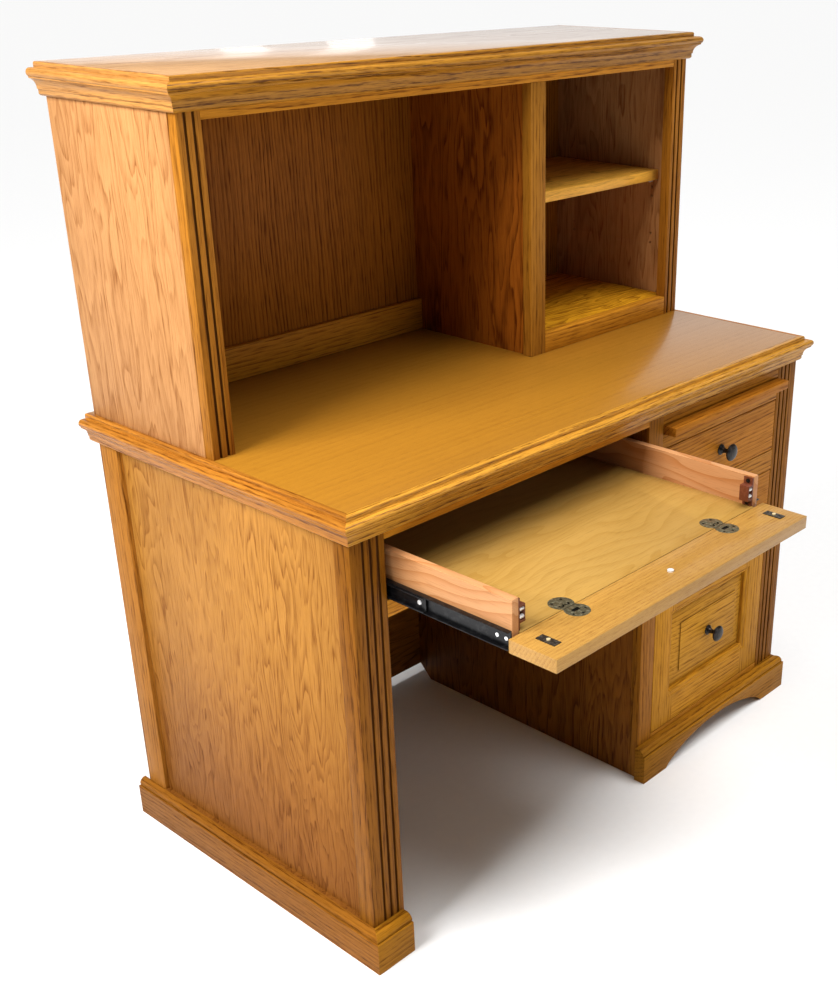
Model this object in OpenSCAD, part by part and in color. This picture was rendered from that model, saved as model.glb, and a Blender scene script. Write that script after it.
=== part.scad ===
// Computer desk with a hutch, a pedestal of drawers and a pull-out keyboard tray.
// Millimetres. +X is to the sitter's right, -Y is towards the sitter, +Z is up.
// Origin: centre of the bounding box, on the floor, in the stored pose
// (tray pulled out, its drop front folded down).

/* [Desk] */

// Width over the side stiles
carcass_w = 1126; // [900:1:1600]
// Depth from the face to the back of the rear posts
carcass_d = 600; // [450:1:800]
// Height of the desk top
desk_h = 762; // [700:1:800]
// Overhang of the bullnose past the face and sides
overhang = 22; // [12:1:40]
// Rear overhang of the desk top
rear_over = 14; // [0:1:30]
// Thickness of the desk top panel
top_t = 25; // [18:1:40]
// Height of the edge mouldings
mould_h = 46; // [35:1:60]
// Width of the fluted corner stiles
stile_w = 62; // [45:1:90]
// Depth of the corner stiles
stile_d = 33; // [20:1:50]
// Thickness of face-frame wood and panels' frames
face_t = 20; // [16:1:30]
// Set-back of the side panels from the stiles
side_recess = 8; // [0:1:15]
// Thickness of the side panels
side_t = 18; // [12:1:25]
// Width of the rear posts
post_w = 51; // [35:1:80]
// Thickness of the rear posts
post_t = 26; // [18:1:40]
// Width of each flute
flute_w = 5; // [3:0.5:8]
// Depth of each flute
flute_depth = 4.5; // [2:0.5:8]

/* [Base] */

// Height of the base moulding
base_h = 70; // [50:1:110]
// Height of its quirk
base_quirk = 57; // [35:1:90]
// Front overhang of the base
base_front = 23; // [15:1:35]
// Side overhang of the base
base_side = 15; // [8:1:25]
// Height of the scroll-cut arch
arch_h = 45; // [20:1:55]
// Width of the left bracket foot at the floor
foot_w = 76; // [50:1:120]

/* [Pedestal] */

// Left face of the pedestal from the centre
ped_x = 99.5; // [0:0.5:250]
// Width of the plain inner stile
ped_stile_w = 40; // [30:1:60]
// Thickness of the pedestal's inner side
ped_side_t = 18; // [12:1:25]
// Top of the pedestal's bottom rail
ped_bottom_z = 79; // [60:1:120]
// Height of the file drawer's opening
file_open_h = 290; // [240:1:330]
// Height of each flat drawer's opening
drawer_open_h = 102; // [80:1:130]
// Height of the rails between drawers
rail_h = 40; // [20:1:60]
// Height of the rail under the writing board
thin_rail_h = 25.5; // [15:0.5:40]
// Thickness of the writing board
board_t = 16; // [12:0.5:22]
// Height of the slot that the writing board slides in
slot_h = 18.5; // [14:0.5:25]
// Amount the writing board stands proud of the face
board_proud = 25; // [0:1:60]
// Depth of the writing board
board_d = 420; // [250:5:520]
// Travel of the drawers
drawer_travel = 330; // [200:5:420]
// Length of the drawer boxes
box_d = 450; // [300:5:520]
// Gap around each inset front
gap = 1.5; // [1:0.5:3]
// Chamfer along the rear bottom corner of the pedestal side
clip = 45; // [0:1:80]

/* [Keyboard tray] */

// Top surface of the tray board
tray_z = 631; // [600:1:660]
// Thickness of the tray board
tray_t = 20; // [15:1:25]
// Distance that the tray is pulled out
tray_out = 247; // [0:1:320]
// Depth of the tray
tray_d = 430; // [300:5:500]
// Height of the tray sides above the board
tray_side_up = 50; // [20:1:60]
// Thickness of the tray sides
tray_side_t = 12.7; // [9:0.1:18]
// Space for each telescopic slide
slide_gap = 12.7; // [12:0.1:14]
// Depth of the drop front when folded down
drop_d = 81; // [60:1:95]
// Thickness of the drop front
drop_t = 20; // [16:1:25]
// Distance of the pivot inside the drop front from its rear and top faces
pivot = 8.5; // [5:0.5:10]
// Radius of the round hinge plates
hinge_r = 18.5; // [14:0.5:22]
// Offset of the hinge pairs from the tray's centre line
hinge_x = 178; // [100:1:250]
// Bottom of the rail above the tray
kneerail_z = 703.5; // [690:0.5:715]
// Top of the rail below the tray
lowrail_z = 610; // [590:1:610]
// Height of the rail below the tray
lowrail_h = 27; // [15:1:45]
// Bottom of the back panel of the kneehole
modesty_z = 30; // [0:5:400]

/* [Hutch] */

// Distance of the hutch face behind the desk face
hutch_y = 287; // [200:1:350]
// Height of the hutch from the desk top to its crown
hutch_h = 478; // [350:1:900]
// Width of the fluted hutch stiles
hstile_w = 38; // [25:1:60]
// Visible height of the rail under the crown
hrail_show = 12; // [8:1:60]
// Left edge of the divider's stile
divider_x = 126; // [0:1:300]
// Width of the divider's stile
divider_w = 37.5; // [25:0.5:60]
// Height of the raised cubby floor
cubby_h = 35; // [20:1:90]
// Underside of the adjustable shelf above the desk top
shelf_up = 256; // [100:32:400]
// Set-back of the adjustable shelf
shelf_back = 40; // [0:1:100]
// Thickness of the adjustable shelf
shelf_t = 19; // [12:1:25]

/* [Knobs] */

// Radius of a knob's head
knob_r = 16; // [10:0.5:22]
// Length of a knob
knob_l = 30; // [20:1:40]
// Radius of a knob's foot
knob_foot_r = 10; // [6:0.5:14]

/* [Hidden] */

hw = carcass_w / 2;
inner_x = hw - stile_w;                 // opening edge beside a corner stile
rear_y = carcass_d + rear_over;
carc_z = desk_h - top_t;                // top of the carcass wood
mould_z = desk_h - mould_h;
panel_x = hw - side_recess;             // outer face of a side panel
open_l = -inner_x;                      // kneehole opening, left edge
open_r = ped_x;                         // kneehole opening, right edge
open_w = open_r - open_l;
open_c = (open_l + open_r) / 2;
tray_l = open_l + slide_gap;
tray_r = open_r - slide_gap;
tray_yf = -tray_out + face_t;           // plane of the drop front's rear edge
tray_edge = tray_yf + 0.5;              // front edge of the tray board
side_yf = tray_yf + 3.6;                // front ends of the tray sides
tray_yr = tray_yf + tray_d;
piv_y = tray_yf - pivot;
piv_z = tray_z - pivot;
slide_z = tray_z - 7;                   // centre height of the tray slides
pd_l = ped_x + ped_stile_w;             // drawer opening, left edge
pd_r = inner_x;                         // drawer opening, right edge
pd_w = pd_r - pd_l;
pd_c = (pd_l + pd_r) / 2;
ped_in = ped_x + ped_side_t;
z_f0 = ped_bottom_z;
z_f1 = z_f0 + file_open_h;
z_b0 = z_f1 + rail_h;
z_b1 = z_b0 + drawer_open_h;
z_a0 = z_b1 + rail_h;
z_a1 = z_a0 + drawer_open_h;
z_s0 = z_a1 + thin_rail_h;
z_s1 = z_s0 + slot_h;
box_side_t = 12.7;
box_l = pd_l + slide_gap;
box_r = pd_r - slide_gap;
hutch_z = desk_h + hutch_h;             // underside of the hutch top
crown_top = hutch_z + mould_h;
hutch_rear = carcass_d;
crown_rear = carcass_d + 7;
back_y = carcass_d - 15;
back_t = 12;
hin = hw - 18;                          // inner face of a hutch side
div_l = divider_x + 6;
div_t = 18;
cubby_z = desk_h + cubby_h;
shelf_z = desk_h + shelf_up;
front_y = piv_y + pivot - 0.5 - drop_d; // foremost wood edge
y_mid = (front_y + rear_y) / 2;

oak = [0.78, 0.55, 0.27];
oak_dark = [0.66, 0.43, 0.18];
maple = [0.85, 0.66, 0.44];
black = [0.09, 0.09, 0.09];
bronze = [0.36, 0.30, 0.20];
steel = [0.75, 0.75, 0.74];

// ---------- helpers ----------

module placed() { translate([0, -y_mid, 0]) children(); }

module bx(x0, x1, y0, y1, z0, z1) {
    translate([x0, y0, z0]) cube([x1 - x0, y1 - y0, z1 - z0]);
}

// A pair mirrored about the plane x = c
module both(c = 0) {
    children();
    translate([2 * c, 0, 0]) mirror([1, 0, 0]) children();
}

// Profile of the desk and crown edges: x is the overhang, y runs down from 0
module edge_profile() {
    translate([0, -mould_h]) square([4.4, mould_h]);
    polygon([[0, 0], [6, 0], [6, -3], [9, -3], [9, -7.5], [overhang - 6.5, -7.5],
             [overhang - 6.5, -20.5], [0, -20.5]]);
    translate([6, -3]) circle(r = 3, $fn = 32);
    translate([overhang - 6.5, -14]) circle(r = 6.5, $fn = 48);
    difference() {
        translate([0, -36.5]) square([overhang - 3, 17]);
        translate([24, -36]) circle(r = 15.5, $fn = 64);
    }
    polygon([[0, -35.8], [8.5, -35.8], [8.5, -37], [7, -37], [7, -mould_h + 2.5],
             [4.4, -mould_h], [0, -mould_h]]);
}

// Profile of the base moulding: x is the overhang t, y runs up from the floor
module base_profile(t) {
    polygon([[0, 0], [t, 0], [t, base_quirk - 1.2], [t - 1.2, base_quirk],
             [t - 4, base_quirk - 0.8], [t - 4, base_quirk + 1.4],
             [t - 14, base_quirk + 1.4], [t - 14, base_h], [0, base_h]]);
    intersection() {
        translate([t - 14.5, base_h - 11.5]) circle(r = 11.5, $fn = 64);
        translate([t - 14.5, base_h - 11.5]) square([12, 12]);
    }
}

// The profile swept along X past the front plane y = yf, between plan mitres
module front_run(yf, top, half, plan) {
    intersection() {
        translate([-half - 40, yf, top]) rotate([0, 0, 90]) rotate([90, 0, 0])
            linear_extrude(height = 2 * half + 80) mirror([1, 0]) children();
        translate([0, 0, top - 200]) linear_extrude(height = 400) polygon(plan);
    }
}

// The profile swept along Y outside the plane x = -half (left-hand piece)
module side_run(half, y0, y1, top, plan) {
    intersection() {
        translate([-half, y1, top]) rotate([90, 0, 0])
            linear_extrude(height = y1 - y0) mirror([1, 0]) children();
        translate([0, 0, top - 200]) linear_extrude(height = 400) polygon(plan);
    }
}

// Flutes run up a stile: x positions, face plane y, z range
module flutes(xs, yf, z0, z1) {
    for (x = xs) {
        translate([x, yf + flute_depth - flute_w / 2, z0])
            cylinder(r = flute_w / 2, h = z1 - z0, $fn = 24);
        bx(x - flute_w / 2, x + flute_w / 2, yf - 1, yf + flute_depth - flute_w / 2, z0, z1);
    }
}

// Turned knob on the plane z = 0, growing along +z
module knob() {
    rotate_extrude($fn = 64)
        polygon([[0, 0], [knob_foot_r, 0], [knob_foot_r, 1.6], [knob_foot_r * 0.86, 3.2],
                 [knob_foot_r * 0.6, 5.2], [4.9, 8], [4.4, 11.5], [4.7, 15],
                 [6.4, 18], [knob_r * 0.66, 20], [knob_r * 0.93, 21.6], [knob_r, 23.6],
                 [knob_r * 0.975, 25.4], [knob_r * 0.8, 27.7], [knob_r * 0.5, 29.3],
                 [knob_r * 0.22, 29.9], [0, knob_l]]);
}

module knob_at(x, y, z) { translate([x, y, z]) rotate([90, 0, 0]) knob(); }

// Open drawer box
module drawer_box(x0, x1, y0, y1, z0, z1) {
    t = box_side_t;
    bx(x0, x0 + t, y0, y1, z0, z1);
    bx(x1 - t, x1, y0, y1, z0, z1);
    bx(x0 + t, x1 - t, y0, y0 + t, z0, z1);
    bx(x0 + t, x1 - t, y1 - t, y1, z0, z1);
    bx(x0 + t, x1 - t, y0 + t, y1 - t, z0 + 6, z0 + 12);
}

// Left-hand fixed channel and drawer member of one drawer slide
module fixed_channel(zc) {
    difference() {
        bx(pd_l, pd_l + 8.5, 22, 462, zc - 17, zc + 17);
        bx(pd_l + 1.4, pd_l + 9, 21, 463, zc - 15.6, zc + 15.6);
    }
}
module drawer_member(zc) {
    difference() {
        bx(pd_l + 3.6, box_l, 22, 462, zc - 14.4, zc + 14.4);
        bx(pd_l + 3, box_l - 1.4, 21, 463, zc - 13, zc + 13);
    }
}

z_up = (z_a0 + z_a1) / 2;
z_lo = (z_b0 + z_b1) / 2;
z_fi = z_f0 + 150;

// ---------- desk top ----------

module desktop_panel() {
    color(oak) placed() bx(-hw, hw, 0, rear_y, carc_z, desk_h);
}

module desktop_moulding_front() {
    color(oak_dark) placed() both()
        front_run(0, desk_h, hw, [[-hw, 0], [1, 0], [1, -40], [-hw - 40, -40]])
            edge_profile();
}

module desktop_moulding_sides() {
    color(oak_dark) placed() both()
        side_run(hw, -40, rear_y, desk_h,
                 [[-hw, 0], [-hw - 40, -40], [-hw - 40, rear_y], [-hw, rear_y]])
            edge_profile();
}

// ---------- desk sides ----------

module side_panels() {
    color(oak) placed() both() {
        bx(-panel_x, -panel_x + side_t, stile_d, carcass_d - post_w, 0, carc_z);
        bx(-hw, -panel_x, stile_d, carcass_d - post_w, 0, base_h);
        bx(-hw, -panel_x, stile_d, carcass_d - post_w, mould_z, carc_z);
    }
}

module corner_stiles() {
    color(oak_dark) placed() both() difference() {
        bx(-hw, -inner_x, 0, stile_d, 0, carc_z);
        flutes([-hw + 23, -hw + 36.5, -hw + 50], 0, base_h - 4, mould_z + 5);
    }
}

module rear_posts() {
    color(oak_dark) placed() both()
        bx(-hw, -hw + post_t, carcass_d - post_w, carcass_d, 0, carc_z);
}

// ---------- base ----------

module base_sides() {
    color(oak_dark) placed() both() {
        k = base_front / base_side;
        side_run(hw, -40, rear_y, 0,
                 [[-hw, 0], [-hw - 30, -30 * k], [-hw - 30, rear_y], [-hw, rear_y]])
            base_profile(base_side);
    }
}

module base_left_front() {
    k = base_side / base_front;
    color(oak_dark) placed()
        front_run(0, 0, hw, [[-hw, 0], [-inner_x - 2, 0], [-inner_x - 2, -40], [-hw - 40 * k, -40]])
            base_profile(base_front);
}

// Height of the scroll-cut edge at distance s from the foot
function scroll(s, half) = arch_h * pow(1 - pow(1 - s / half, 2), 0.75);

module pedestal_base_front() {
    k = base_side / base_front;
    x0 = ped_x - 7.5;
    xa = x0 + foot_w - 5;
    xb = hw + base_side - foot_w - 5;
    half = (xb - xa) / 2;
    color(oak_dark) placed() difference() {
        front_run(0, 0, hw, [[x0, 0], [hw, 0], [hw + 40 * k, -40], [x0, -40]])
            base_profile(base_front);
        translate([0, 10, 0]) rotate([90, 0, 0]) linear_extrude(height = 60)
            polygon(concat(
                [[xa, -5]],
                [for (i = [0 : 20]) [xa + half * i / 20, scroll(half * i / 20, half)]],
                [for (i = [19 : -1 : 0]) [xb - half * i / 20, scroll(half * i / 20, half)]],
                [[xb, -5]]));
    }
}

// ---------- pedestal ----------

module pedestal_inner_side() {
    color(oak) placed() translate([ped_x, 0, 0]) rotate([90, 0, 90])
        linear_extrude(height = ped_side_t)
            polygon([[face_t, 0], [carcass_d - clip, 0], [carcass_d, clip],
                     [carcass_d, carc_z], [face_t, carc_z]]);
}

module pedestal_inner_stile() {
    color(oak_dark) placed() bx(ped_x, pd_l, 0, face_t, 0, carc_z);
}

module pedestal_rails() {
    color(oak_dark) placed() {
        bx(pd_l, pd_r, 0, face_t, base_quirk, z_f0);
        bx(pd_l, pd_r, 0, face_t, z_f1, z_b0);
        bx(pd_l, pd_r, 0, face_t, z_b1, z_a0);
        bx(pd_l, pd_r, 0, face_t, z_a1, z_s0);
        bx(pd_l, pd_r, 0, face_t, z_s1, carc_z);
    }
}

module pedestal_bottom() {
    color(maple) placed() bx(ped_in, panel_x - side_t, stile_d, back_y, z_f0 - 18, z_f0);
}

module kneehole_rails() {
    color(oak_dark) placed() {
        bx(open_l, open_r, 0, face_t, kneerail_z, carc_z);
        bx(open_l, open_r, 0, face_t, lowrail_z - lowrail_h, lowrail_z);
    }
}

module modesty_panel() {
    color(oak) placed() bx(-hw + post_t, ped_x, back_y, back_y + back_t, modesty_z, carc_z);
}

module pedestal_back() {
    color(oak) placed() bx(ped_in, hw - post_t, back_y, back_y + back_t, clip, carc_z);
}

module slide_cleats() {
    color(maple) placed() {
        bx(-panel_x + side_t, open_l, stile_d, 545, slide_z - 20, slide_z + 20);
        for (z = [z_up, z_lo, z_fi]) {
            bx(ped_in, pd_l, face_t, 545, z - 20, z + 20);
            bx(pd_r, panel_x - side_t, stile_d, 545, z - 20, z + 20);
        }
    }
}

module slide_channels() {
    color(black) placed() {
        both(open_c) difference() {
            bx(open_l, open_l + 5.7, 24, 524, slide_z - 8.6, slide_z + 8.6);
            bx(open_l + 1.4, open_l + 7, 23, 525, slide_z - 7.2, slide_z + 7.2);
        }
        both(pd_c) {
            fixed_channel(z_up);
            fixed_channel(z_lo);
            fixed_channel(z_fi);
        }
    }
}

module writing_board_runners() {
    color(maple) placed() {
        for (r = [[ped_in, pd_l, 24, face_t], [pd_r, panel_x - side_t, -24, stile_d]]) {
            x0 = min(r[0], r[0] + r[2]);
            x1 = max(r[1], r[1] + r[2]);
            difference() {
                bx(x0, x1, r[3], 545, z_s0 - 16, z_s1 + 16);
                bx(r[2] > 0 ? pd_l : x0 - 1, r[2] > 0 ? x1 + 1 : pd_r,
                   r[3] - 1, 546, z_s0, z_s1);
            }
        }
    }
}

module writing_board() {
    color(oak) placed()
        bx(pd_l + gap, pd_r - gap, -board_proud, board_d - board_proud,
           z_s0 + 0.8, z_s0 + 0.8 + board_t);
}

// ---------- hutch ----------

h_top = crown_top - top_t;
pin_rows = [shelf_z - 15, shelf_z - 33, shelf_z - 106, shelf_z - 124];

module pin_holes(x) {
    for (y = [hutch_y + 55, back_y - 45], z = pin_rows)
        translate([x, y, z]) rotate([0, 90, 0]) cylinder(r = 2.6, h = 9, $fn = 24);
}

module hutch_sides() {
    color(oak) placed() {
        bx(-hw, -hin, hutch_y + face_t, hutch_rear, desk_h, h_top);
        difference() {
            bx(hin, hw, hutch_y + face_t, hutch_rear, desk_h, h_top);
            pin_holes(hin - 1);
        }
    }
}

module hutch_stiles() {
    color(oak_dark) placed() both() difference() {
        bx(-hw, -hw + hstile_w, hutch_y, hutch_y + face_t, desk_h, h_top);
        flutes([-hw + 13.5, -hw + 27], hutch_y, desk_h - 1, hutch_z + 5);
    }
}

module hutch_rails() {
    color(oak_dark) placed() {
        bx(-hw + hstile_w, hw - hstile_w, hutch_y, hutch_y + face_t, hutch_z - hrail_show, h_top);
        bx(divider_x + divider_w, hw - hstile_w, hutch_y, hutch_y + face_t, desk_h, cubby_z);
        bx(-hin, div_l, back_y - 12, back_y, desk_h, desk_h + 58);
    }
}

module hutch_top_panel() {
    color(oak) placed() bx(-hw, hw, hutch_y, crown_rear, h_top, crown_top);
}

module crown_front() {
    color(oak_dark) placed() both()
        front_run(hutch_y, crown_top, hw, [[-hw, hutch_y], [1, hutch_y],
                  [1, hutch_y - 40], [-hw - 40, hutch_y - 40]])
            edge_profile();
}

module crown_sides() {
    color(oak_dark) placed() both()
        side_run(hw, hutch_y - 40, crown_rear, crown_top,
                 [[-hw, hutch_y], [-hw - 40, hutch_y - 40], [-hw - 40, crown_rear], [-hw, crown_rear]])
            edge_profile();
}

module hutch_back() {
    color(oak) placed() bx(-hin, hin, back_y, back_y + back_t, desk_h, h_top);
}

module hutch_divider() {
    color(oak) placed() difference() {
        bx(div_l, div_l + div_t, hutch_y + face_t, back_y, desk_h, h_top);
        pin_holes(div_l + div_t - 8);
    }
}

module hutch_divider_stile() {
    color(oak_dark) placed()
        bx(divider_x, divider_x + divider_w, hutch_y, hutch_y + face_t, desk_h, hutch_z - hrail_show);
}

module cubby_floor() {
    color(oak) placed() bx(div_l + div_t, hin, hutch_y + face_t, back_y, cubby_z - 18, cubby_z);
}

module adjustable_shelf() {
    color(oak) placed()
        bx(div_l + div_t + 0.5, hin - 0.5, hutch_y + shelf_back, back_y - 2, shelf_z, shelf_z + shelf_t);
}

module shelf_pins() {
    color(steel) placed()
        for (y = [hutch_y + 55, back_y - 45]) {
            translate([div_l + div_t, y, shelf_z - 3]) rotate([0, 90, 0]) cylinder(r = 3, h = 9, $fn = 24);
            translate([hin - 9, y, shelf_z - 3]) rotate([0, 90, 0]) cylinder(r = 3, h = 9, $fn = 24);
        }
}

// ---------- keyboard tray ----------

// Round hinge plate, its chord toward +y, in the plane z = 0 and below
module hinge_disc(chord) {
    intersection() {
        translate([0, 0, -2]) cylinder(r = hinge_r, h = 2, $fn = 72);
        bx(-40, 40, -40, chord, -3, 1);
    }
}
hinge_off = 14.2;                       // plate centre from the joint

module tray_pockets(c = hinge_off + 3) {
    for (s = [-1, 1]) translate([open_c + s * hinge_x, tray_yf + hinge_off, tray_z])
        mirror([0, 1, 0]) hinge_disc(c);
}
module drop_pockets(c = hinge_off + 3) {
    for (s = [-1, 1]) translate([open_c + s * hinge_x, tray_yf - hinge_off, tray_z])
        hinge_disc(c);
}
// Room for the drop front's rear edge as it turns
module swing_room() {
    translate([tray_l, piv_y, piv_z]) rotate([0, 90, 0])
        cylinder(r = sqrt(pow(pivot, 2) + pow(pivot - 0.5, 2)) + 0.55, h = tray_r - tray_l, $fn = 72);
}

module tray_board() {
    color(maple) placed() difference() {
        bx(tray_l + tray_side_t, tray_r - tray_side_t, tray_edge, tray_yr, tray_z - tray_t, tray_z);
        swing_room();
        tray_pockets();
    }
}

module tray_sides() {
    color(maple) placed() {
        both(open_c) bx(tray_l, tray_l + tray_side_t, side_yf, tray_yr,
                        tray_z - tray_t, tray_z + tray_side_up);
        bx(tray_l + tray_side_t, tray_r - tray_side_t, tray_yr - tray_side_t, tray_yr,
           tray_z, tray_z + tray_side_up);
    }
}

module tray_slide_members() {
    color(black) placed() both(open_c) difference() {
        bx(open_l + 3.7, tray_l, side_yf + 0.6, side_yf + 450, slide_z - 13, slide_z + 13);
        bx(open_l + 3, tray_l - 1.4, side_yf, side_yf + 451, slide_z - 11.6, slide_z + 11.6);
    }
}

module tray_slide_intermediates() {
    color(black) placed() both(open_c) {
        y0 = 54 - tray_out / 2;
        difference() {
            bx(open_l + 2.3, open_l + 9.1, y0, y0 + 420, slide_z - 10.8, slide_z + 10.8);
            bx(open_l + 1, open_l + 7.9, y0 - 1, y0 + 421, slide_z - 9.6, slide_z + 9.6);
        }
        translate([open_l + 6.7, y0 + 12, slide_z]) rotate([0, 90, 0]) cylinder(r = 3.4, h = 1.3, $fn = 32);
    }
}

module tray_screws() {
    color(steel) placed() both(open_c)
        for (y = [tray_yf + 12, tray_yf + 28, tray_yf + 190]) translate([tray_l - 2.6, y, slide_z])
            rotate([0, 90, 0]) difference() {
                cylinder(r = 2.9, h = 1.2, $fn = 32);
                translate([-0.4, -2.2, -0.1]) cube([0.8, 4.4, 0.6]);
                translate([-2.2, -0.4, -0.1]) cube([4.4, 0.8, 0.6]);
            }
}

catch_z = tray_z - 2 * pivot + 41;      // meets the strikes when the drop front is shut
catch_in = tray_l + tray_side_t;        // inner face of the left tray side

module catch_bodies() {
    color([0.35, 0.16, 0.08]) placed() both(open_c) {
        difference() {
            bx(catch_in, catch_in + 2.5, side_yf, side_yf + 17, tray_z + 1, tray_z + 48);
            for (z = [catch_z - 18.5, catch_z + 18.5]) translate([catch_in - 1, side_yf + 8.5, z])
                rotate([0, 90, 0]) cylinder(r = 1.6, h = 5, $fn = 24);
        }
        difference() {
            bx(catch_in + 2.5, catch_in + 13, side_yf, side_yf + 17, catch_z - 13, catch_z + 13);
            bx(catch_in + 2.5, catch_in + 11.5, side_yf - 1, side_yf + 10.5, catch_z - 9.5, catch_z + 9.5);
        }
    }
}

module catch_rollers() {
    color(steel) placed() both(open_c)
        for (s = [-1, 1]) translate([catch_in + 2.5, side_yf + 3.4, catch_z + s * 5.8])
            rotate([0, 90, 0]) cylinder(r = 3.1, h = 9, $fn = 36);
}

module catch_screws() {
    color(black) placed() both(open_c)
        for (z = [catch_z - 18.5, catch_z + 18.5]) translate([catch_in + 0.2, side_yf + 8.5, z])
            rotate([0, 90, 0]) {
                cylinder(r = 1.6, h = 2.3, $fn = 24);
                translate([0, 0, 2.3]) difference() {
                    cylinder(r = 3.3, h = 1.5, $fn = 32);
                    translate([-0.5, -2.4, 0.8]) cube([1, 4.8, 1]);
                    translate([-2.4, -0.5, 0.8]) cube([4.8, 1, 1]);
                }
            }
}

module tray_hinge_plates() {
    color(bronze) placed() difference() {
        tray_pockets(hinge_off - 0.5);
        swing_room();
        for (s = [-1, 1]) translate([open_c + s * hinge_x, tray_yf + hinge_off, tray_z]) {
            for (m = [-1, 1]) translate([m * 5.4, -4.6, -1.2]) difference() {
                cylinder(r = 4.9, h = 3, $fn = 32);
                translate([0, 0, -1]) cylinder(r = 2.1, h = 5, $fn = 32);
                translate([-6, 1.2, -1]) cube([12, 6, 5]);
            }
            for (m = [-1, 1]) translate([m * 9.5, 8.5, -0.7]) cylinder(r = 2.3, h = 3, $fn = 24);
        }
    }
}

// ---------- drop front ----------

module drop_front() {
    color(oak) placed() difference() {
        bx(open_l + gap, open_r - gap, tray_yf - 0.5 - drop_d, tray_yf - 0.5, tray_z - drop_t, tray_z);
        drop_pockets();
    }
}

module drop_hinge_plates() {
    color(bronze) placed() difference() {
        drop_pockets(hinge_off - 0.5);
        for (s = [-1, 1]) translate([open_c + s * hinge_x, tray_yf - hinge_off, tray_z]) {
            translate([-7, -0.5, -1.3]) cube([14, 6.5, 3]);
            translate([0, -10.5, -0.7]) cylinder(r = 2.3, h = 3, $fn = 24);
            for (m = [-1, 1]) translate([m * 12.5, -4, -0.7]) cylinder(r = 2, h = 3, $fn = 24);
        }
    }
}

module strike_plates() {
    color(bronze) placed() both(open_c)
        translate([catch_in + 7, tray_yf - 41, tray_z]) difference() {
            bx(-7, 7, -16, 16, 0, 1.2);
            translate([0, 0, -1]) cylinder(r = 2.8, h = 3, $fn = 32);
            for (s = [-1, 1]) translate([0, s * 11.5, 0.6]) cylinder(r = 2.2, h = 2, $fn = 24);
        }
}

module strike_studs() {
    color([0.8, 0.65, 0.3]) placed() both(open_c)
        translate([catch_in + 7, tray_yf - 41, tray_z]) cylinder(r = 2.8, h = 3, $fn = 32);
}

module drop_knob() {
    color(black) placed() translate([open_c, tray_yf - 38, tray_z - drop_t]) rotate([180, 0, 0]) knob();
}

module drop_knob_screw() {
    color(steel) placed() translate([open_c, tray_yf - 38, tray_z]) difference() {
        cylinder(r = 4.8, h = 2.4, $fn = 36);
        translate([-0.6, -3, 1.5]) cube([1.2, 6, 2]);
        translate([-3, -0.6, 1.5]) cube([6, 1.2, 2]);
    }
}

// ---------- drawers ----------

module flat_front(z0, z1) {
    color(oak) placed() bx(pd_l + gap, pd_r - gap, 0, face_t, z0 + gap, z1 - gap);
}
module flat_box(z0, z1) {
    color(maple) placed() drawer_box(box_l, box_r, face_t, face_t + box_d, z0 + 8, z1 - 12);
}
module members(zc) { color(black) placed() both(pd_c) drawer_member(zc); }

module upper_drawer_front() { flat_front(z_a0, z_a1); }
module upper_drawer_box() { flat_box(z_a0, z_a1); }
module upper_drawer_slides() { members(z_up); }
module upper_drawer_knob() { color(black) placed() knob_at(pd_c, 0, z_up); }

module lower_drawer_front() { flat_front(z_b0, z_b1); }
module lower_drawer_box() { flat_box(z_b0, z_b1); }
module lower_drawer_slides() { members(z_lo); }
module lower_drawer_knob() { color(black) placed() knob_at(pd_c, 0, z_lo); }

fr_l = pd_l + gap;                      // file front, outer and opening edges
fr_r = pd_r - gap;
fr_b = z_f0 + gap;
fr_t = z_f1 - gap;
st_w = 57;
fo_l = fr_l + st_w;
fo_r = fr_r - st_w;
fo_b = fr_b + 66;
fo_t = fr_t - 57;

// Sticking round the frame's opening: a mitred prism, width w, sloping to depth d
module sticking(w, d) {
    difference() {
        bx(fo_l - w, fo_r + w, -1, d, fo_b - w, fo_t + w);
        // four sloped banks left standing
        for (k = [0 : 3]) intersection() {
            bank(k, w, d);
            trapezoid(k, w);
        }
    }
}
module bank(k, w, d) {
    pts = [[0, -2], [0, d + 1], [-w, d + 1], [-w, 0]];
    if (k == 0) translate([fo_l, 0, fo_b - w - 1]) linear_extrude(height = fo_t - fo_b + 2 * w + 2)
        polygon([[0, d * 0.55], [-2.5, d * 0.3], [-w + 2, 0.9], [-w, 0.9], [-w, 0], [-w - 1, 0], [-w - 1, d + 1], [0, d + 1]]);
    if (k == 1) translate([fo_r, 0, fo_b - w - 1]) linear_extrude(height = fo_t - fo_b + 2 * w + 2)
        mirror([1, 0]) polygon([[0, d * 0.55], [-2.5, d * 0.3], [-w + 2, 0.9], [-w, 0.9], [-w, 0], [-w - 1, 0], [-w - 1, d + 1], [0, d + 1]]);
    if (k == 2) translate([fo_l - w - 1, 0, fo_b]) rotate([90, 0, 90]) linear_extrude(height = fo_r - fo_l + 2 * w + 2)
        polygon([[d * 0.55, 0], [d * 0.3, -2.5], [0.9, -w + 2], [0.9, -w], [0, -w], [0, -w - 1], [d + 1, -w - 1], [d + 1, 0]]);
    if (k == 3) translate([fo_l - w - 1, 0, fo_t]) rotate([90, 0, 90]) linear_extrude(height = fo_r - fo_l + 2 * w + 2)
        mirror([0, 1]) polygon([[d * 0.55, 0], [d * 0.3, -2.5], [0.9, -w + 2], [0.9, -w], [0, -w], [0, -w - 1], [d + 1, -w - 1], [d + 1, 0]]);
}
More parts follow.
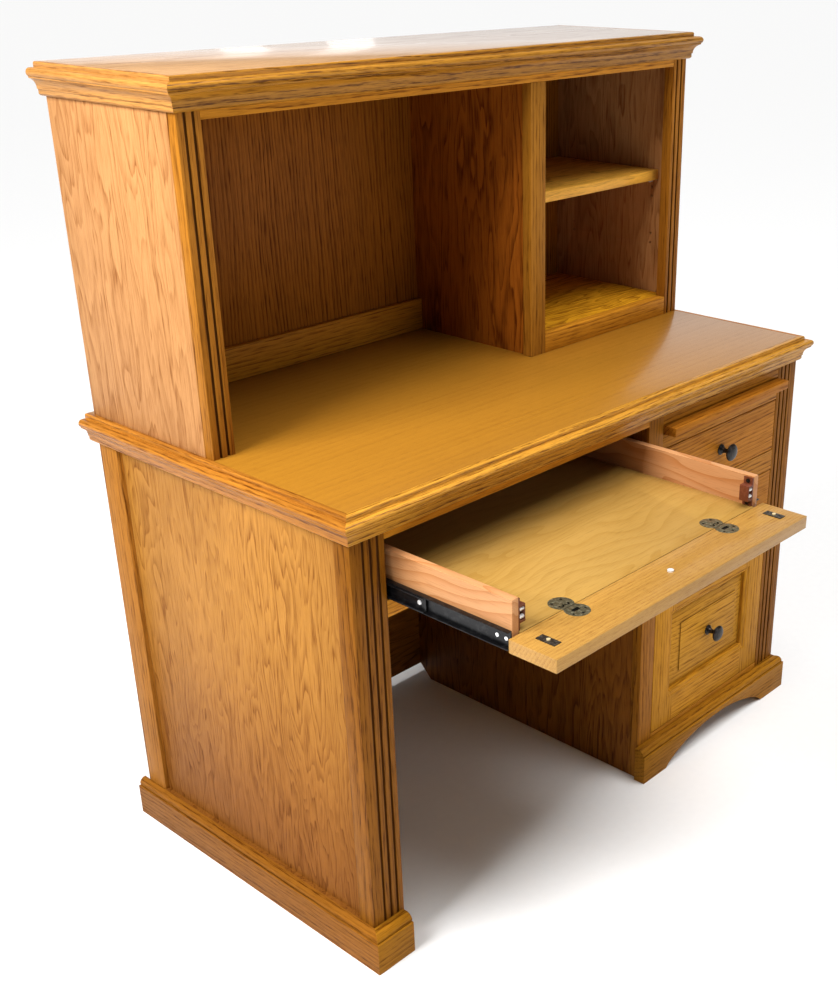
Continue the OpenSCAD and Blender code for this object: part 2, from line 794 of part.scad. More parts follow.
module trapezoid(k, w) {
    e = w + 2;
    p = k == 0 ? [[fo_l, fo_b], [fo_l, fo_t], [fo_l - e, fo_t + e], [fo_l - e, fo_b - e]]
      : k == 1 ? [[fo_r, fo_b], [fo_r + e, fo_b - e], [fo_r + e, fo_t + e], [fo_r, fo_t]]
      : k == 2 ? [[fo_l, fo_b], [fo_l - e, fo_b - e], [fo_r + e, fo_b - e], [fo_r, fo_b]]
      : [[fo_l, fo_t], [fo_r, fo_t], [fo_r + e, fo_t + e], [fo_l - e, fo_t + e]];
    translate([0, 30, 0]) rotate([90, 0, 0]) linear_extrude(height = 60) polygon(p);
}

module file_drawer_frame() {
    color(oak) placed() difference() {
        bx(fr_l, fr_r, 0, face_t, fr_b, fr_t);
        bx(fo_l, fo_r, -1, face_t + 1, fo_b, fo_t);
        sticking(9, 9);
    }
}

// Raised panel: bevels rise from the edges to a field with a small step
module file_drawer_panel() {
    b = 31;
    module prof(l, r) {
        polygon([[l, 16], [l, 12], [l + b, 6], [l + b, 4], [r - b, 4], [r - b, 6], [r, 12], [r, 16]]);
    }
    color(oak) placed() intersection() {
        translate([0, 0, fo_b]) linear_extrude(height = fo_t - fo_b) prof(fo_l, fo_r);
        translate([fo_l, 0, 0]) rotate([90, 0, 90]) linear_extrude(height = fo_r - fo_l)
            mirror([1, -1]) prof(fo_b, fo_t);
    }
}

module file_drawer_box() {
    color(maple) placed() drawer_box(box_l, box_r, face_t, face_t + box_d, z_f0 + 12, z_f1 - 40);
}
module file_drawer_slides() { members(z_fi); }
module file_drawer_knob() { color(black) placed() knob_at(pd_c, 4, (fo_b + fo_t) / 2); }

desktop_panel();
desktop_moulding_front();
desktop_moulding_sides();
side_panels();
corner_stiles();
rear_posts();
base_sides();
base_left_front();
pedestal_base_front();
pedestal_inner_side();
pedestal_inner_stile();
pedestal_rails();
pedestal_bottom();
kneehole_rails();
modesty_panel();
pedestal_back();
slide_cleats();
slide_channels();
writing_board_runners();
writing_board();
hutch_sides();
hutch_stiles();
hutch_rails();
hutch_top_panel();
crown_front();
crown_sides();
hutch_back();
hutch_divider();
hutch_divider_stile();
cubby_floor();
adjustable_shelf();
shelf_pins();
tray_board();
tray_sides();
tray_slide_members();
tray_slide_intermediates();
tray_screws();
catch_bodies();
catch_rollers();
catch_screws();
tray_hinge_plates();
drop_front();
drop_hinge_plates();
strike_plates();
strike_studs();
drop_knob();
drop_knob_screw();
upper_drawer_front();
upper_drawer_box();
upper_drawer_slides();
upper_drawer_knob();
lower_drawer_front();
lower_drawer_box();
lower_drawer_slides();
lower_drawer_knob();
file_drawer_frame();
file_drawer_panel();
file_drawer_box();
file_drawer_slides();
file_drawer_knob();
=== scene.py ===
import math

import bpy
from mathutils import Matrix, Vector


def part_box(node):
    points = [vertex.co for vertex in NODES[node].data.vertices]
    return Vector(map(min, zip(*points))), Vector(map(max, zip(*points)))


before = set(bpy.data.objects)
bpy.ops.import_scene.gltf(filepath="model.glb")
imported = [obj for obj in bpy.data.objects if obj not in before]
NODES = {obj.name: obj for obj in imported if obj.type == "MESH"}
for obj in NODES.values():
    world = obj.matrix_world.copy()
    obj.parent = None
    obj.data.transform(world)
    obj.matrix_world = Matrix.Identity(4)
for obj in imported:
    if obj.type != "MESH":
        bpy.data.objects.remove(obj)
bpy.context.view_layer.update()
scene = bpy.context.scene

Y_MID = 0.15275                     # the desk's face plane lies this far in front of the frame's Y origin


# ---------------------------------------------------------------- node helper

class Tree:
    def __init__(self, name):
        self.mat = bpy.data.materials.new(name)
        self.mat.use_nodes = True
        self.nt = self.mat.node_tree
        self.nt.nodes.clear()
        self.out = self.nt.nodes.new("ShaderNodeOutputMaterial")
        self.bsdf = self.nt.nodes.new("ShaderNodeBsdfPrincipled")
        self.nt.links.new(self.bsdf.outputs[0], self.out.inputs[0])

    def node(self, kind, **props):
        n = self.nt.nodes.new(kind)
        for k, v in props.items():
            setattr(n, k, v)
        return n

    def put(self, value, socket):
        if isinstance(value, bpy.types.NodeSocket):
            self.nt.links.new(value, socket)
        else:
            socket.default_value = value

    def math(self, op, a, b=None, c=None, clamp=False):
        n = self.node("ShaderNodeMath", operation=op, use_clamp=clamp)
        for i, v in enumerate((a, b, c)):
            if v is not None:
                self.put(v, n.inputs[i])
        return n.outputs[0]

    def vec(self, op, a, b=None, scale=None):
        n = self.node("ShaderNodeVectorMath", operation=op)
        self.put(a, n.inputs[0])
        if b is not None:
            self.put(b, n.inputs[1])
        if scale is not None:
            self.put(scale, n.inputs["Scale"])
        return n.outputs[0]

    def combine(self, x, y, z):
        n = self.node("ShaderNodeCombineXYZ")
        for i, v in enumerate((x, y, z)):
            self.put(v, n.inputs[i])
        return n.outputs[0]

    def separate(self, v):
        n = self.node("ShaderNodeSeparateXYZ")
        self.put(v, n.inputs[0])
        return n.outputs

    def noise(self, vector, scale=1.0, detail=2.0, rough=0.5, distort=0.0):
        n = self.node("ShaderNodeTexNoise")
        self.put(vector, n.inputs["Vector"])
        n.inputs["Scale"].default_value = scale
        n.inputs["Detail"].default_value = detail
        n.inputs["Roughness"].default_value = rough
        n.inputs["Distortion"].default_value = distort
        return n.outputs[0]

    def white(self, value):
        n = self.node("ShaderNodeTexWhiteNoise", noise_dimensions="1D")
        self.put(value, n.inputs["W"])
        return n.outputs[0]

    def remap(self, v, a, b, c=0.0, d=1.0, smooth=True):
        n = self.node("ShaderNodeMapRange", interpolation_type="SMOOTHSTEP" if smooth else "LINEAR")
        n.clamp = True
        self.put(v, n.inputs[0])
        for i, x in enumerate((a, b, c, d)):
            n.inputs[i + 1].default_value = x
        return n.outputs[0]

    def mix(self, f, a, b, blend="MIX"):
        n = self.node("ShaderNodeMix", data_type="RGBA", blend_type=blend)
        self.put(f, n.inputs[0])
        self.put(a if isinstance(a, bpy.types.NodeSocket) else (*a, 1.0), n.inputs[6])
        self.put(b if isinstance(b, bpy.types.NodeSocket) else (*b, 1.0), n.inputs[7])
        return n.outputs[2]

    def position(self):
        return self.node("ShaderNodeTexCoord").outputs["Object"]

    def bump(self, height, strength, distance):
        n = self.node("ShaderNodeBump")
        n.inputs["Strength"].default_value = strength
        n.inputs["Distance"].default_value = distance
        self.put(height, n.inputs["Height"])
        self.put(n.outputs[0], self.bsdf.inputs["Normal"])


AX = {"x": 0, "y": 1, "z": 2}


def oak(name, axes, mean, seed=0.0, style="straight", ring=0.006, wild=1.0, contrast=1.0, rough=0.44, coat=0.0, spec=0.07,
        flute_shade=None, pore=1.0, hot=1.28, deep=0.36, tone=(0.74, 0.50), fine_scale=1.0, rails=None,
        floor_shade=None, shade_below=None, step_shade=None):
    """Open-pored oak. axes is the grain's direction, across the board, and through it; mean is its average colour."""
    light = tuple(c * k for c, k in zip(mean, (hot, hot * 1.02, hot * 1.05)))
    mid = mean
    dark = tuple(c * k for c, k in zip(mean, (deep, deep * tone[0], deep * tone[1])))
    t = Tree(name)
    p = t.separate(t.position())
    u, v, w = (t.math("ADD", p[AX[a]], seed * k) for a, k in zip(axes, (1.37, 0.71, 0.53)))
    if rails:                            # a mitreless frame: its rails' grain lies across the stiles'
        x0, x1, z0, z1 = rails
        mask = t.math("MULTIPLY", t.math("GREATER_THAN", p[0], x0), t.math("LESS_THAN", p[0], x1))
        mask = t.math("MULTIPLY", mask, t.math("GREATER_THAN", t.math("ABSOLUTE", t.math("SUBTRACT", p[2], (z0 + z1) / 2)), (z1 - z0) / 2))
        swapped_u = t.math("ADD", v, 3.3)
        swapped_v = t.math("ADD", u, 1.9)
        keep = t.math("SUBTRACT", 1.0, mask)
        u, v = (t.math("ADD", t.math("MULTIPLY", u, keep), t.math("MULTIPLY", swapped_u, mask)),
                t.math("ADD", t.math("MULTIPLY", v, keep), t.math("MULTIPLY", swapped_v, mask)))

    def stretched(along, across, **kw):
        return t.noise(t.combine(t.math("MULTIPLY", u, along), t.math("MULTIPLY", v, across), t.math("MULTIPLY", w, across)), **kw)

    low = stretched(1.3, 5.0, detail=2.0)
    midn = stretched(8.0, 42.0, detail=2.0)
    wob = t.math("ADD", t.math("MULTIPLY", t.math("SUBTRACT", low, 0.5), 0.045 * wild),
                 t.math("MULTIPLY", t.math("SUBTRACT", midn, 0.5), 0.0065 * wild))
    v1 = t.math("ADD", v, wob)
    if style == "straight":
        field = t.math("DIVIDE", t.math("ADD", v1, t.math("MULTIPLY", w, 0.6)), ring)
    elif style == "cathedral":
        a = t.math("ADD", t.math("MULTIPLY", u, 0.055), t.math("MULTIPLY", t.math("SUBTRACT", low, 0.5), 0.09))
        a = t.math("ADD", t.math("ABSOLUTE", a), t.math("MULTIPLY", t.math("SUBTRACT", midn, 0.5), 0.008))
        r = t.math("SQRT", t.math("ADD", t.math("MULTIPLY", v1, v1), t.math("MULTIPLY", a, a)))
        field = t.math("DIVIDE", r, ring)
    else:                                # rotary-cut veneer: contours of a slow field, drawn out along the grain
        big = stretched(2.7, 17.0, detail=2.8, rough=0.48, distort=0.30)
        field = t.math("ADD", t.math("MULTIPLY", big, 0.155 * wild / ring), t.math("DIVIDE", v1, ring * 3.0))
    saw = t.math("FRACT", field)
    level = t.white(t.math("FLOOR", field))
    early = t.math("MULTIPLY", t.math("POWER", t.math("SUBTRACT", 1.0, saw), 1.7), t.remap(saw, 0.0, 0.14))
    early = t.math("MULTIPLY", early, t.math("ADD", t.math("MULTIPLY", level, 0.7), 0.4))
    pores = stretched(24.0 * fine_scale, 430.0 * fine_scale, detail=2.0, rough=0.6)
    fine = stretched(90.0, 1900.0, detail=1.0)
    band = stretched(9.0, 170.0, detail=2.0, rough=0.6)
    streak = t.remap(pores, 0.38, 0.62)
    broken = 0.95 if style == "straight" else 0.55
    stain = t.math("MULTIPLY", early, t.math("ADD", t.math("MULTIPLY", streak, broken), 1.20 - broken))
    stain = t.math("ADD", stain, t.math("MULTIPLY", t.remap(pores, 0.50, 0.72), 0.34 * pore))
    stain = t.math("ADD", stain, t.math("MULTIPLY", t.remap(band, 0.45, 0.75), 0.22 * pore))
    stain = t.math("MULTIPLY", stain, contrast, clamp=True)
    cloud = stretched(1.1, 4.0, detail=3.0, rough=0.6)
    base = t.mix(t.remap(cloud, 0.32, 0.68), light, mid)
    col = t.mix(stain, base, dark)
    col = t.mix(t.math("MULTIPLY", t.remap(fine, 0.55, 0.75), 0.30 * pore), col, dark)
    if flute_shade:                           # painted shade darkens the flutes: face plane, then low and high |x|
        face, x0, x1 = flute_shade
        in_x = t.math("MULTIPLY", t.math("GREATER_THAN", t.math("ABSOLUTE", p[0]), x0), t.math("LESS_THAN", t.math("ABSOLUTE", p[0]), x1))
        depth = t.math("MULTIPLY", t.remap(p[1], face + 0.0002, face + 0.0024), t.math("MULTIPLY", in_x, t.math("LESS_THAN", p[1], face + 0.0052)))
        col = t.mix(t.math("MULTIPLY", depth, 0.82), col, (0.050, 0.014, 0.002))
    if floor_shade:                             # painted shade, darker towards the floor: z range, then low and high factor
        z0, z1, k0, k1 = floor_shade
        k = t.remap(p[2], z0, z1, k0, k1)
        shade = t.remap(p[2], 0.02, 0.62, 0.58, 1.0)
        col = t.mix(1.0, col, t.combine(t.math("MULTIPLY", k, shade), t.math("MULTIPLY", t.math("MULTIPLY", k, k), shade),
                                        t.math("MULTIPLY", t.math("POWER", k, 2.6), shade)), blend="MULTIPLY")
    if shade_below:                             # painted shade in the depth of a pocket, under a plate's slots
        col = t.mix(t.math("LESS_THAN", p[2], shade_below), col, (0.004, 0.003, 0.002))
    if step_shade:                             # painted shade along the step of a raised field
        y0, y1, k = step_shade
        line = t.math("MULTIPLY", t.remap(p[1], y0, y0 + 0.0008), t.math("SUBTRACT", 1.0, t.remap(p[1], y1 - 0.0004, y1 + 0.0010)))
        col = t.mix(t.math("MULTIPLY", line, k), col, (0.045, 0.014, 0.0015))
    t.put(col, t.bsdf.inputs["Base Color"])
    t.put(t.math("ADD", t.math("MULTIPLY", stain, 0.16), t.math("ADD", t.math("MULTIPLY", cloud, 0.10), rough - 0.05)), t.bsdf.inputs["Roughness"])
    t.bsdf.inputs["Coat Weight"].default_value = coat
    t.bsdf.inputs["Coat Roughness"].default_value = 0.13
    t.bsdf.inputs["Specular IOR Level"].default_value = spec
    height = t.math("SUBTRACT", t.math("MULTIPLY", t.math("SUBTRACT", 1.0, stain), 0.6), t.math("MULTIPLY", t.remap(fine, 0.5, 0.75), 0.4))
    t.bump(height, 0.22, 0.0003)
    return t.mat


def plain_wood(name, axes, seed, light, dark, swirl=0.35, rough=0.36):
    """Birch and maple: close-grained, with slow pale figure and fine short lines."""
    t = Tree(name)
    p = t.separate(t.position())
    u, v, w = (t.math("ADD", p[AX[a]], seed * k) for a, k in zip(axes, (1.37, 0.71, 0.53)))
    low = t.noise(t.combine(t.math("MULTIPLY", u, 2.2), t.math("MULTIPLY", v, 9.0), t.math("MULTIPLY", w, 9.0)), detail=2.0, distort=0.5)
    lines = t.math("FRACT", t.math("ADD", t.math("MULTIPLY", low, 9.0), t.math("MULTIPLY", v, 40.0)))
    fig = t.math("MULTIPLY", t.math("POWER", lines, 3.0), swirl)
    fine = t.noise(t.combine(t.math("MULTIPLY", u, 35.0), t.math("MULTIPLY", v, 700.0), t.math("MULTIPLY", w, 700.0)), detail=2.0)
    col = t.mix(t.math("ADD", fig, t.math("MULTIPLY", t.remap(low, 0.3, 0.7), 0.35), clamp=True), light, dark)
    col = t.mix(t.math("MULTIPLY", t.remap(fine, 0.5, 0.72), 0.3), col, tuple(c * 0.6 for c in dark))
    t.put(col, t.bsdf.inputs["Base Color"])
    t.put(t.math("ADD", t.math("MULTIPLY", fine, 0.12), rough - 0.06), t.bsdf.inputs["Roughness"])
    t.bsdf.inputs["Specular IOR Level"].default_value = 0.15
    t.bump(fine, 0.12, 0.0002)
    return t.mat


def metal(name, color, worn, rough=0.35, metallic=1.0, wear=0.3, scale=120.0, bump=0.15, shade_below=None, button=None):
    """A metal or painted finish with cloudy wear and fine scratches."""
    t = Tree(name)
    p = t.position()
    cloud = t.noise(p, scale=scale, detail=4.0, rough=0.65)
    fine = t.noise(p, scale=scale * 9.0, detail=2.0)
    amount = t.math("MULTIPLY", t.remap(cloud, 0.46, 0.66), wear)
    col = t.mix(amount, color, worn)
    if shade_below:                             # below this height the colour is painted shade, for slots and screw holes
        col = t.mix(t.math("LESS_THAN", t.separate(p)[2], shade_below), col, (0.006, 0.005, 0.004))
    if button:                           # a bright rivet head: its height along y and z, and its radius
        q = t.separate(p)
        dy, dz = t.math("SUBTRACT", q[1], button[0]), t.math("SUBTRACT", q[2], button[1])
        away = t.math("SQRT", t.math("ADD", t.math("MULTIPLY", dy, dy), t.math("MULTIPLY", dz, dz)))
        col = t.mix(t.math("LESS_THAN", away, button[2]), col, (0.80, 0.80, 0.79))
    t.put(col, t.bsdf.inputs["Base Color"])
    t.put(t.math("ADD", t.math("MULTIPLY", cloud, 0.22), t.math("ADD", t.math("MULTIPLY", fine, 0.08), rough - 0.15)), t.bsdf.inputs["Roughness"])
    t.bsdf.inputs["Metallic"].default_value = metallic
    t.bump(t.math("ADD", t.math("MULTIPLY", cloud, 0.5), t.math("MULTIPLY", fine, 0.5)), bump, 0.0003)
    return t.mat


# ---------------------------------------------------------------- materials per node

face_y = -Y_MID
hutch_face = 0.287 - Y_MID

M = {}
GLOSS = dict(rough=0.34, coat=0.08, spec=0.14, fine_scale=1.6)
SATIN = dict(rough=0.42, coat=0.0, spec=0.045, fine_scale=1.6)
# the desk's side veneer gets painted shade towards the floor
M["side_panels"] = oak("oak_side_veneer", "zyx", (0.3450, 0.1420, 0.0230), 3.1, "rotary", ring=0.0088, wild=1.1, contrast=0.95, deep=0.56, tone=(0.76, 0.50), floor_shade=(0.02, 0.56, 0.84, 1.06))
M["hutch_sides"] = oak("oak_hutch_veneer", "zyx", (0.3850, 0.1820, 0.0640), 5.7, "rotary", ring=0.0115, wild=1.0, contrast=0.9, deep=0.56, tone=(0.74, 0.50))
M["desktop_panel"] = oak("oak_desktop", "xyz", (0.3000, 0.1260, 0.0110), 1.3, ring=0.016, wild=0.35, contrast=0.34, rough=0.30, coat=0.26, spec=0.3, hot=1.12, deep=0.5, pore=1.3, fine_scale=1.8)
M["hutch_top_panel"] = oak("oak_hutch_top", "xyz", (0.3700, 0.2100, 0.0950), 8.3, "rotary", ring=0.013, wild=0.6, contrast=0.7, rough=0.27, coat=0.80, spec=0.4, deep=0.5)
M["desktop_moulding_front"] = oak("oak_edge_x", "xzy", (0.5200, 0.2400, 0.0260), 2.2, ring=0.0070, contrast=1.35, deep=0.30, **GLOSS)
M["desktop_moulding_sides"] = oak("oak_edge_y", "yzx", (0.3700, 0.1380, 0.0150), 4.4, ring=0.0070, contrast=1.2, deep=0.34, **GLOSS)
M["crown_front"] = oak("oak_crown_x", "xzy", (0.3600, 0.1550, 0.0150), 6.9, ring=0.0075, contrast=1.3, deep=0.30, **GLOSS)
M["crown_sides"] = oak("oak_crown_y", "yzx", (0.400, 0.180, 0.0400), 7.7, ring=0.008, contrast=1.05, **GLOSS)
# the fluted stiles get painted shade in their flutes
M["corner_stiles"] = oak("oak_stile", "zxy", (0.2045, 0.0722, 0.0046), 9.1, ring=0.0085, contrast=1.05, flute_shade=(face_y, 0.509, 0.545))
M["hutch_stiles"] = oak("oak_hutch_stile", "zxy", (0.3200, 0.1200, 0.0110), 10.3, ring=0.008, contrast=1.1, flute_shade=(hutch_face, 0.530, 0.555))
M["rear_posts"] = oak("oak_post", "zyx", (0.2900, 0.1100, 0.0130), 11.2, ring=0.008)
M["base_sides"] = oak("oak_base_y", "yzx", (0.2350, 0.0860, 0.0090), 12.5, ring=0.0085, contrast=1.05, **SATIN)
M["base_left_front"] = oak("oak_base_x", "xzy", (0.3000, 0.1230, 0.0080), 13.4, ring=0.0085, contrast=1.1, **SATIN)
M["pedestal_base_front"] = M["base_left_front"]
M["pedestal_inner_side"] = oak("oak_inner_veneer", "zyx", (0.200, 0.066, 0.0070), 14.6, "rotary", ring=0.012, contrast=1.1)
M["pedestal_inner_stile"] = oak("oak_stile_plain", "zxy", (0.2620, 0.0960, 0.0080), 15.8, ring=0.0085)
M["pedestal_rails"] = oak("oak_rail_x", "xzy", (0.3450, 0.1320, 0.0095), 16.1, ring=0.0085)
M["kneehole_rails"] = oak("oak_knee_rail", "xzy", (0.4200, 0.1650, 0.0120), 17.3, ring=0.008)
M["modesty_panel"] = oak("oak_back_veneer", "xzy", (0.200, 0.066, 0.0070), 18.2, "rotary", ring=0.012)
M["pedestal_back"] = M["modesty_panel"]
M["hutch_back"] = oak("oak_hutch_back", "zxy", (0.2900, 0.0960, 0.0085), 19.9, "cathedral", ring=0.0075, wild=1.2, contrast=1.2)
M["hutch_divider"] = oak("oak_divider", "zyx", (0.3100, 0.0880, 0.0075), 20.4, "rotary", ring=0.013, contrast=1.1)
M["hutch_divider_stile"] = oak("oak_divider_stile", "zxy", (0.330, 0.134, 0.0130), 21.7, ring=0.008)
M["hutch_rails"] = oak("oak_hutch_rail", "xzy", (0.4700, 0.1850, 0.0120), 22.8, ring=0.008)
M["cubby_floor"] = oak("oak_cubby_floor", "xyz", (0.6200, 0.2800, 0.0110), 23.3, "rotary", ring=0.010, wild=0.9, contrast=1.2)
M["adjustable_shelf"] = oak("oak_shelf", "xyz", (0.7600, 0.3800, 0.0500), 24.5, "rotary", ring=0.012, wild=0.7, contrast=0.8, **GLOSS)
M["writing_board"] = oak("oak_writing_board", "xyz", (0.3300, 0.1150, 0.0080), 25.1, ring=0.008)
M["drop_front"] = oak("oak_drop_front", "xyz", (0.3850, 0.2020, 0.0420), 26.6, ring=0.0060, wild=0.35, contrast=0.62, deep=0.52, rough=0.36, coat=0.14, spec=0.25, pore=1.7, fine_scale=2.3,
                      shade_below=None)
M["upper_drawer_front"] = oak("oak_drawer_upper", "xzy", (0.3850, 0.1420, 0.0110), 27.2, "cathedral", ring=0.008)
M["lower_drawer_front"] = oak("oak_drawer_lower", "xzy", (0.3850, 0.1420, 0.0110), 28.9, "cathedral", ring=0.008)
lo_p, hi_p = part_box("file_drawer_panel")
# the file panel gets painted shade along its field step
M["file_drawer_panel"] = oak("oak_file_panel", "xzy", (0.4600, 0.2100, 0.0170), 29.4, ring=0.0095, wild=0.6, contrast=0.9,
                             step_shade=(lo_p[1] + 0.0002, lo_p[1] + 0.0021, 0.62))
M["file_drawer_frame"] = oak("oak_file_frame", "zxy", (0.4400, 0.1900, 0.0120), 30.7, ring=0.0085,
                             rails=(lo_p[0] + 0.006, hi_p[0] - 0.006, lo_p[2] + 0.006, hi_p[2] - 0.006))
M["tray_board"] = plain_wood("birch_tray_top", "xyz", 31.0, (0.400, 0.230, 0.056), (0.310, 0.160, 0.028), swirl=0.45, rough=0.40)
birch = plain_wood("birch_sides", "yzx", 32.0, (0.560, 0.285, 0.125), (0.420, 0.165, 0.052), swirl=0.75)
M["tray_sides"] = birch
for n in ("pedestal_bottom", "slide_cleats", "writing_board_runners", "upper_drawer_box", "lower_drawer_box", "file_drawer_box"):
    M[n] = birch
slide_black = metal("slide_black", (0.007, 0.007, 0.008), (0.05, 0.05, 0.05), rough=0.36, metallic=0.5, wear=0.4)
steel = metal("bright_steel", (0.80, 0.80, 0.79), (0.6, 0.6, 0.59), rough=0.26, metallic=0.35, wear=0.3, scale=300)
plate_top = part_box("tray_hinge_plates")[1][2]
# the hinge plates' slots and screw holes get painted shade
brass = metal("antique_brass", (0.140, 0.125, 0.070), (0.42, 0.39, 0.26), rough=0.40, wear=0.7, scale=260, metallic=0.7, shade_below=plate_top - 0.0005)
strike = metal("strike_bronze", (0.055, 0.044, 0.034), (0.26, 0.22, 0.17), rough=0.42, wear=0.5, scale=300, metallic=0.7)
stud = metal("stud_brass", (0.85, 0.70, 0.40), (0.65, 0.45, 0.18), rough=0.25, metallic=0.4, wear=0.3, scale=300)
knob = metal("knob_bronze", (0.016, 0.014, 0.013), (0.09, 0.05, 0.03), rough=0.30, metallic=0.6, wear=0.25, scale=90)
plastic = metal("catch_plastic", (0.120, 0.028, 0.012), (0.19, 0.055, 0.025), rough=0.42, metallic=0.0, wear=0.6, scale=200)
for n in ("slide_channels", "tray_slide_members", "upper_drawer_slides", "lower_drawer_slides", "file_drawer_slides", "catch_screws"):
    M[n] = slide_black
for n in ("tray_screws", "catch_rollers", "shelf_pins", "drop_knob_screw"):
    M[n] = steel
mid_lo, mid_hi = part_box("tray_slide_intermediates")
M["tray_slide_intermediates"] = metal("slide_black_stop", (0.007, 0.007, 0.008), (0.05, 0.05, 0.05), rough=0.36, metallic=0.5, wear=0.4,
                                      button=(mid_lo[1] + 0.012, (mid_lo[2] + mid_hi[2]) / 2, 0.0036))
M["tray_hinge_plates"] = M["drop_hinge_plates"] = brass
M["strike_plates"] = strike
M["strike_studs"] = stud
M["catch_bodies"] = plastic
for n in ("drop_knob", "upper_drawer_knob", "lower_drawer_knob", "file_drawer_knob"):
    M[n] = knob

for n, o in NODES.items():
    o.data.materials.clear()
    o.data.materials.append(M[n])


def weld_group():
    """Joins the split corners and drops the stored normals, so that a bevel can run round every edge."""
    g = bpy.data.node_groups.new("weld", "GeometryNodeTree")
    g.interface.new_socket("Geometry", in_out="INPUT", socket_type="NodeSocketGeometry")
    g.interface.new_socket("Geometry", in_out="OUTPUT", socket_type="NodeSocketGeometry")
    i, o = g.nodes.new("NodeGroupInput"), g.nodes.new("NodeGroupOutput")
    m = g.nodes.new("GeometryNodeMergeByDistance")
    m.inputs["Distance"].default_value = 0.00001
    r = g.nodes.new("GeometryNodeRemoveAttribute")
    r.inputs["Name"].default_value = "custom_normal"
    g.links.new(i.outputs[0], m.inputs[0])
    g.links.new(m.outputs[0], r.inputs[0])
    g.links.new(r.outputs[0], o.inputs[0])
    return g


def smooth_group(degrees):
    """Smooth shading, except across edges sharper than this."""
    g = bpy.data.node_groups.new("smooth_by_angle", "GeometryNodeTree")
    g.interface.new_socket("Geometry", in_out="INPUT", socket_type="NodeSocketGeometry")
    g.interface.new_socket("Geometry", in_out="OUTPUT", socket_type="NodeSocketGeometry")
    i, o = g.nodes.new("NodeGroupInput"), g.nodes.new("NodeGroupOutput")
    angle = g.nodes.new("GeometryNodeInputMeshEdgeAngle")
    less = g.nodes.new("FunctionNodeCompare")
    less.data_type, less.operation = "FLOAT", "LESS_THAN"
    less.inputs[1].default_value = math.radians(degrees)
    faces = g.nodes.new("GeometryNodeSetShadeSmooth")
    faces.domain = "FACE"
    faces.inputs["Shade Smooth"].default_value = True
    edges = g.nodes.new("GeometryNodeSetShadeSmooth")
    edges.domain = "EDGE"
    g.links.new(angle.outputs["Unsigned Angle"], less.inputs[0])
    g.links.new(less.outputs[0], edges.inputs["Shade Smooth"])
    g.links.new(i.outputs[0], faces.inputs[0])
    g.links.new(faces.outputs[0], edges.inputs[0])
    g.links.new(edges.outputs[0], o.inputs[0])
    return g


WELD, SMOOTH = weld_group(), smooth_group(32)
EDGE = {"desktop_panel": 0.0005, "hutch_top_panel": 0.0005, "side_panels": 0.0005, "hutch_back": 0.0004, "modesty_panel": 0.0005,
        "desktop_moulding_front": 0.0006, "desktop_moulding_sides": 0.0006, "crown_front": 0.0006, "crown_sides": 0.0006,
        "base_sides": 0.0008, "base_left_front": 0.0008, "pedestal_base_front": 0.0012,
        "corner_stiles": 0.0007, "hutch_stiles": 0.0007, "rear_posts": 0.0020,
        "drop_front": 0.0018, "writing_board": 0.0018, "tray_board": 0.0005, "tray_sides": 0.0016,
        "upper_drawer_front": 0.0016, "lower_drawer_front": 0.0016, "adjustable_shelf": 0.0014,
        "catch_bodies": 0.0004, "tray_slide_members": 0.0004, "tray_slide_intermediates": 0.0004, "slide_channels": 0.0004,
        "strike_plates": 0.0003, "tray_hinge_plates": 0.0002, "drop_hinge_plates": 0.0002,
        "tray_screws": 0.0, "catch_screws": 0.0, "catch_rollers": 0.0003, "drop_knob_screw": 0.0, "strike_studs": 0.0005, "shelf_pins": 0.0003,
        "drop_knob": 0.0, "upper_drawer_knob": 0.0, "lower_drawer_knob": 0.0, "file_drawer_knob": 0.0}
for n, o in NODES.items():
    width = EDGE.get(n, 0.0009)
    if not width:
        continue
    m = o.modifiers.new("weld", "NODES")
    m.node_group = WELD
    m = o.modifiers.new("bevel", "BEVEL")
    m.width = width
    m.segments = 2
    m.limit_method = "ANGLE"
    m.angle_limit = math.radians(40)
    m.use_clamp_overlap = True
    m = o.modifiers.new("smooth", "NODES")
    m.node_group = SMOOTH

# ---------------------------------------------------------------- floor, light, camera

t = Tree("floor_paper")
p = t.position()
grain = t.noise(p, scale=60.0, detail=3.0)
t.put(t.mix(grain, (0.86, 0.86, 0.86), (0.90, 0.90, 0.895)), t.bsdf.inputs["Base Color"])
t.bsdf.inputs["Roughness"].default_value = 0.9
t.bsdf.inputs["Specular IOR Level"].default_value = 0.0
bpy.ops.mesh.primitive_plane_add(size=240.0, location=(0, 0, 0))
floor = bpy.context.object
floor.name = "floor"
floor.data.materials.append(t.mat)

world = bpy.data.worlds.new("studio")
scene.world = world
world.use_nodes = True
wt = world.node_tree
bg = wt.nodes["Background"]
bg.inputs[0].default_value = (1.0, 1.0, 1.0, 1.0)
bg.inputs[1].default_value = 0.12
seen = wt.nodes.new("ShaderNodeBackground")     # the backdrop itself stays pale
seen.inputs[0].default_value = (1.0, 1.0, 1.0, 1.0)
seen.inputs[1].default_value = 0.98
path = wt.nodes.new("ShaderNodeLightPath")
both = wt.nodes.new("ShaderNodeMixShader")
wt.links.new(path.outputs["Is Camera Ray"], both.inputs[0])
wt.links.new(bg.outputs[0], both.inputs[1])
wt.links.new(seen.outputs[0], both.inputs[2])
wt.links.new(both.outputs[0], wt.nodes["World Output"].inputs[0])


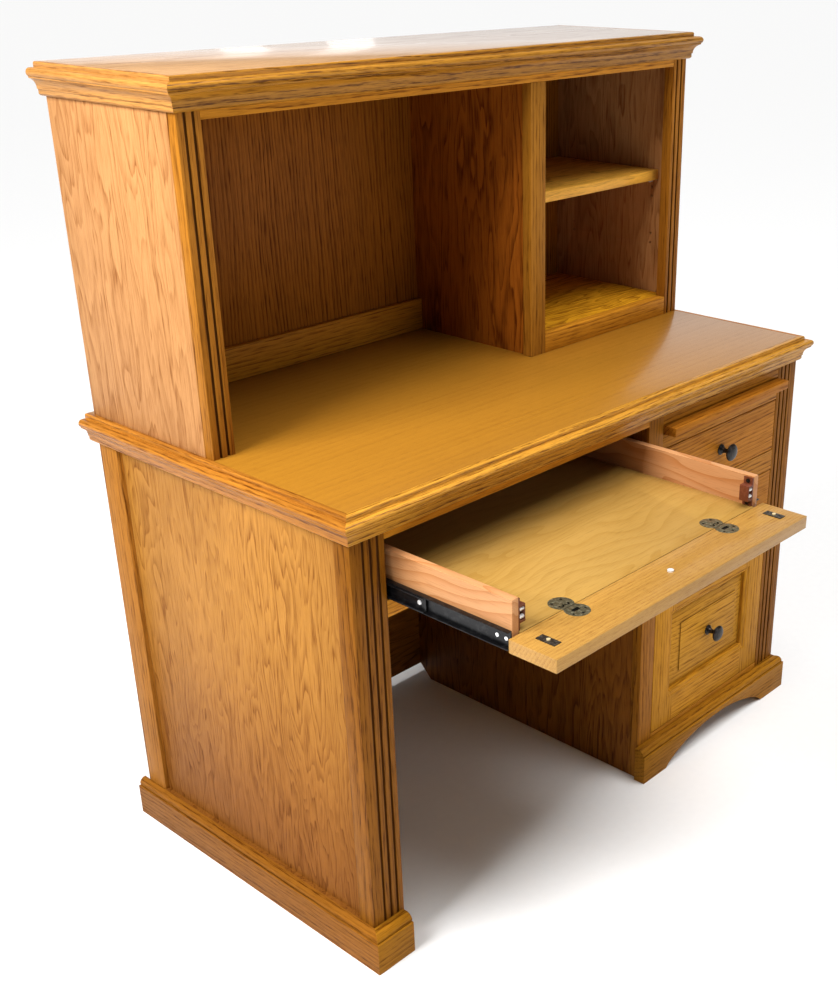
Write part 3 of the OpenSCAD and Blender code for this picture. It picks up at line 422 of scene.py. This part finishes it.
def area(name, at, to, size, power, color=(1, 1, 1), gloss_only=False, mirrored=True):
    lamp = bpy.data.lights.new(name, "AREA")
    lamp.shape = "RECTANGLE"
    lamp.size, lamp.size_y = size
    lamp.energy = power
    lamp.color = color
    o = bpy.data.objects.new(name, lamp)
    o.location = at
    o.rotation_mode = "QUATERNION"
    o.rotation_quaternion = (Vector(to) - Vector(at)).to_track_quat("-Z", "Y")
    o.visible_camera = False
    o.visible_diffuse = not gloss_only
    o.visible_glossy = mirrored
    scene.collection.objects.link(o)


area("key_left", (-2.2, 0.15, 2.45), (-0.4, 0, 0.9), (1.2, 1.2), 112, mirrored=False)
area("fill_front", (1.0, -3.4, 1.5), (0, 0, 0.6), (1.8, 1.8), 19)
area("room_far", (4.3, 3.9, 1.9), (0, 0, 1.2), (8.0, 4.4), 92, gloss_only=True)
area("window_left", (2.95, 4.75, 2.3), (-1.4, -1.3, 1.3), (0.26, 2.6), 1.3, gloss_only=True)
area("window_right", (3.45, 4.40, 2.3), (-1.4, -1.3, 1.3), (0.26, 2.6), 1.3, gloss_only=True)
sky = bpy.data.lights.new("ceiling", "SUN")
sky.energy = 3.1
sky.angle = math.radians(40)
ceiling = bpy.data.objects.new("ceiling", sky)
ceiling.rotation_mode = "QUATERNION"
ceiling.rotation_quaternion = Vector((-0.02, 0.24, -1)).to_track_quat("-Z", "Y")
scene.collection.objects.link(ceiling)

cam = bpy.data.cameras.new("camera")
cam.sensor_width = 36.0
cam.lens = 1309.0 * 36.0 / 1000.0
cam.shift_x = (419.0 - 538.0) / 1000.0
cam.shift_y = (554.3 - 500.0) / 1000.0
camera = bpy.data.objects.new("camera", cam)
scene.collection.objects.link(camera)
yaw, pitch = math.radians(48.72), math.radians(25.17)
look = Vector((math.sin(yaw) * math.cos(pitch), math.cos(yaw) * math.cos(pitch), -math.sin(pitch)))
camera.location = (-1.5787, -1.2249 - Y_MID, 1.4416)
camera.rotation_mode = "QUATERNION"
camera.rotation_quaternion = look.to_track_quat("-Z", "Y")
cam.clip_start, cam.clip_end = 0.05, 400.0
scene.camera = camera

scene.view_settings.view_transform = "Standard"
scene.view_settings.look = "None"
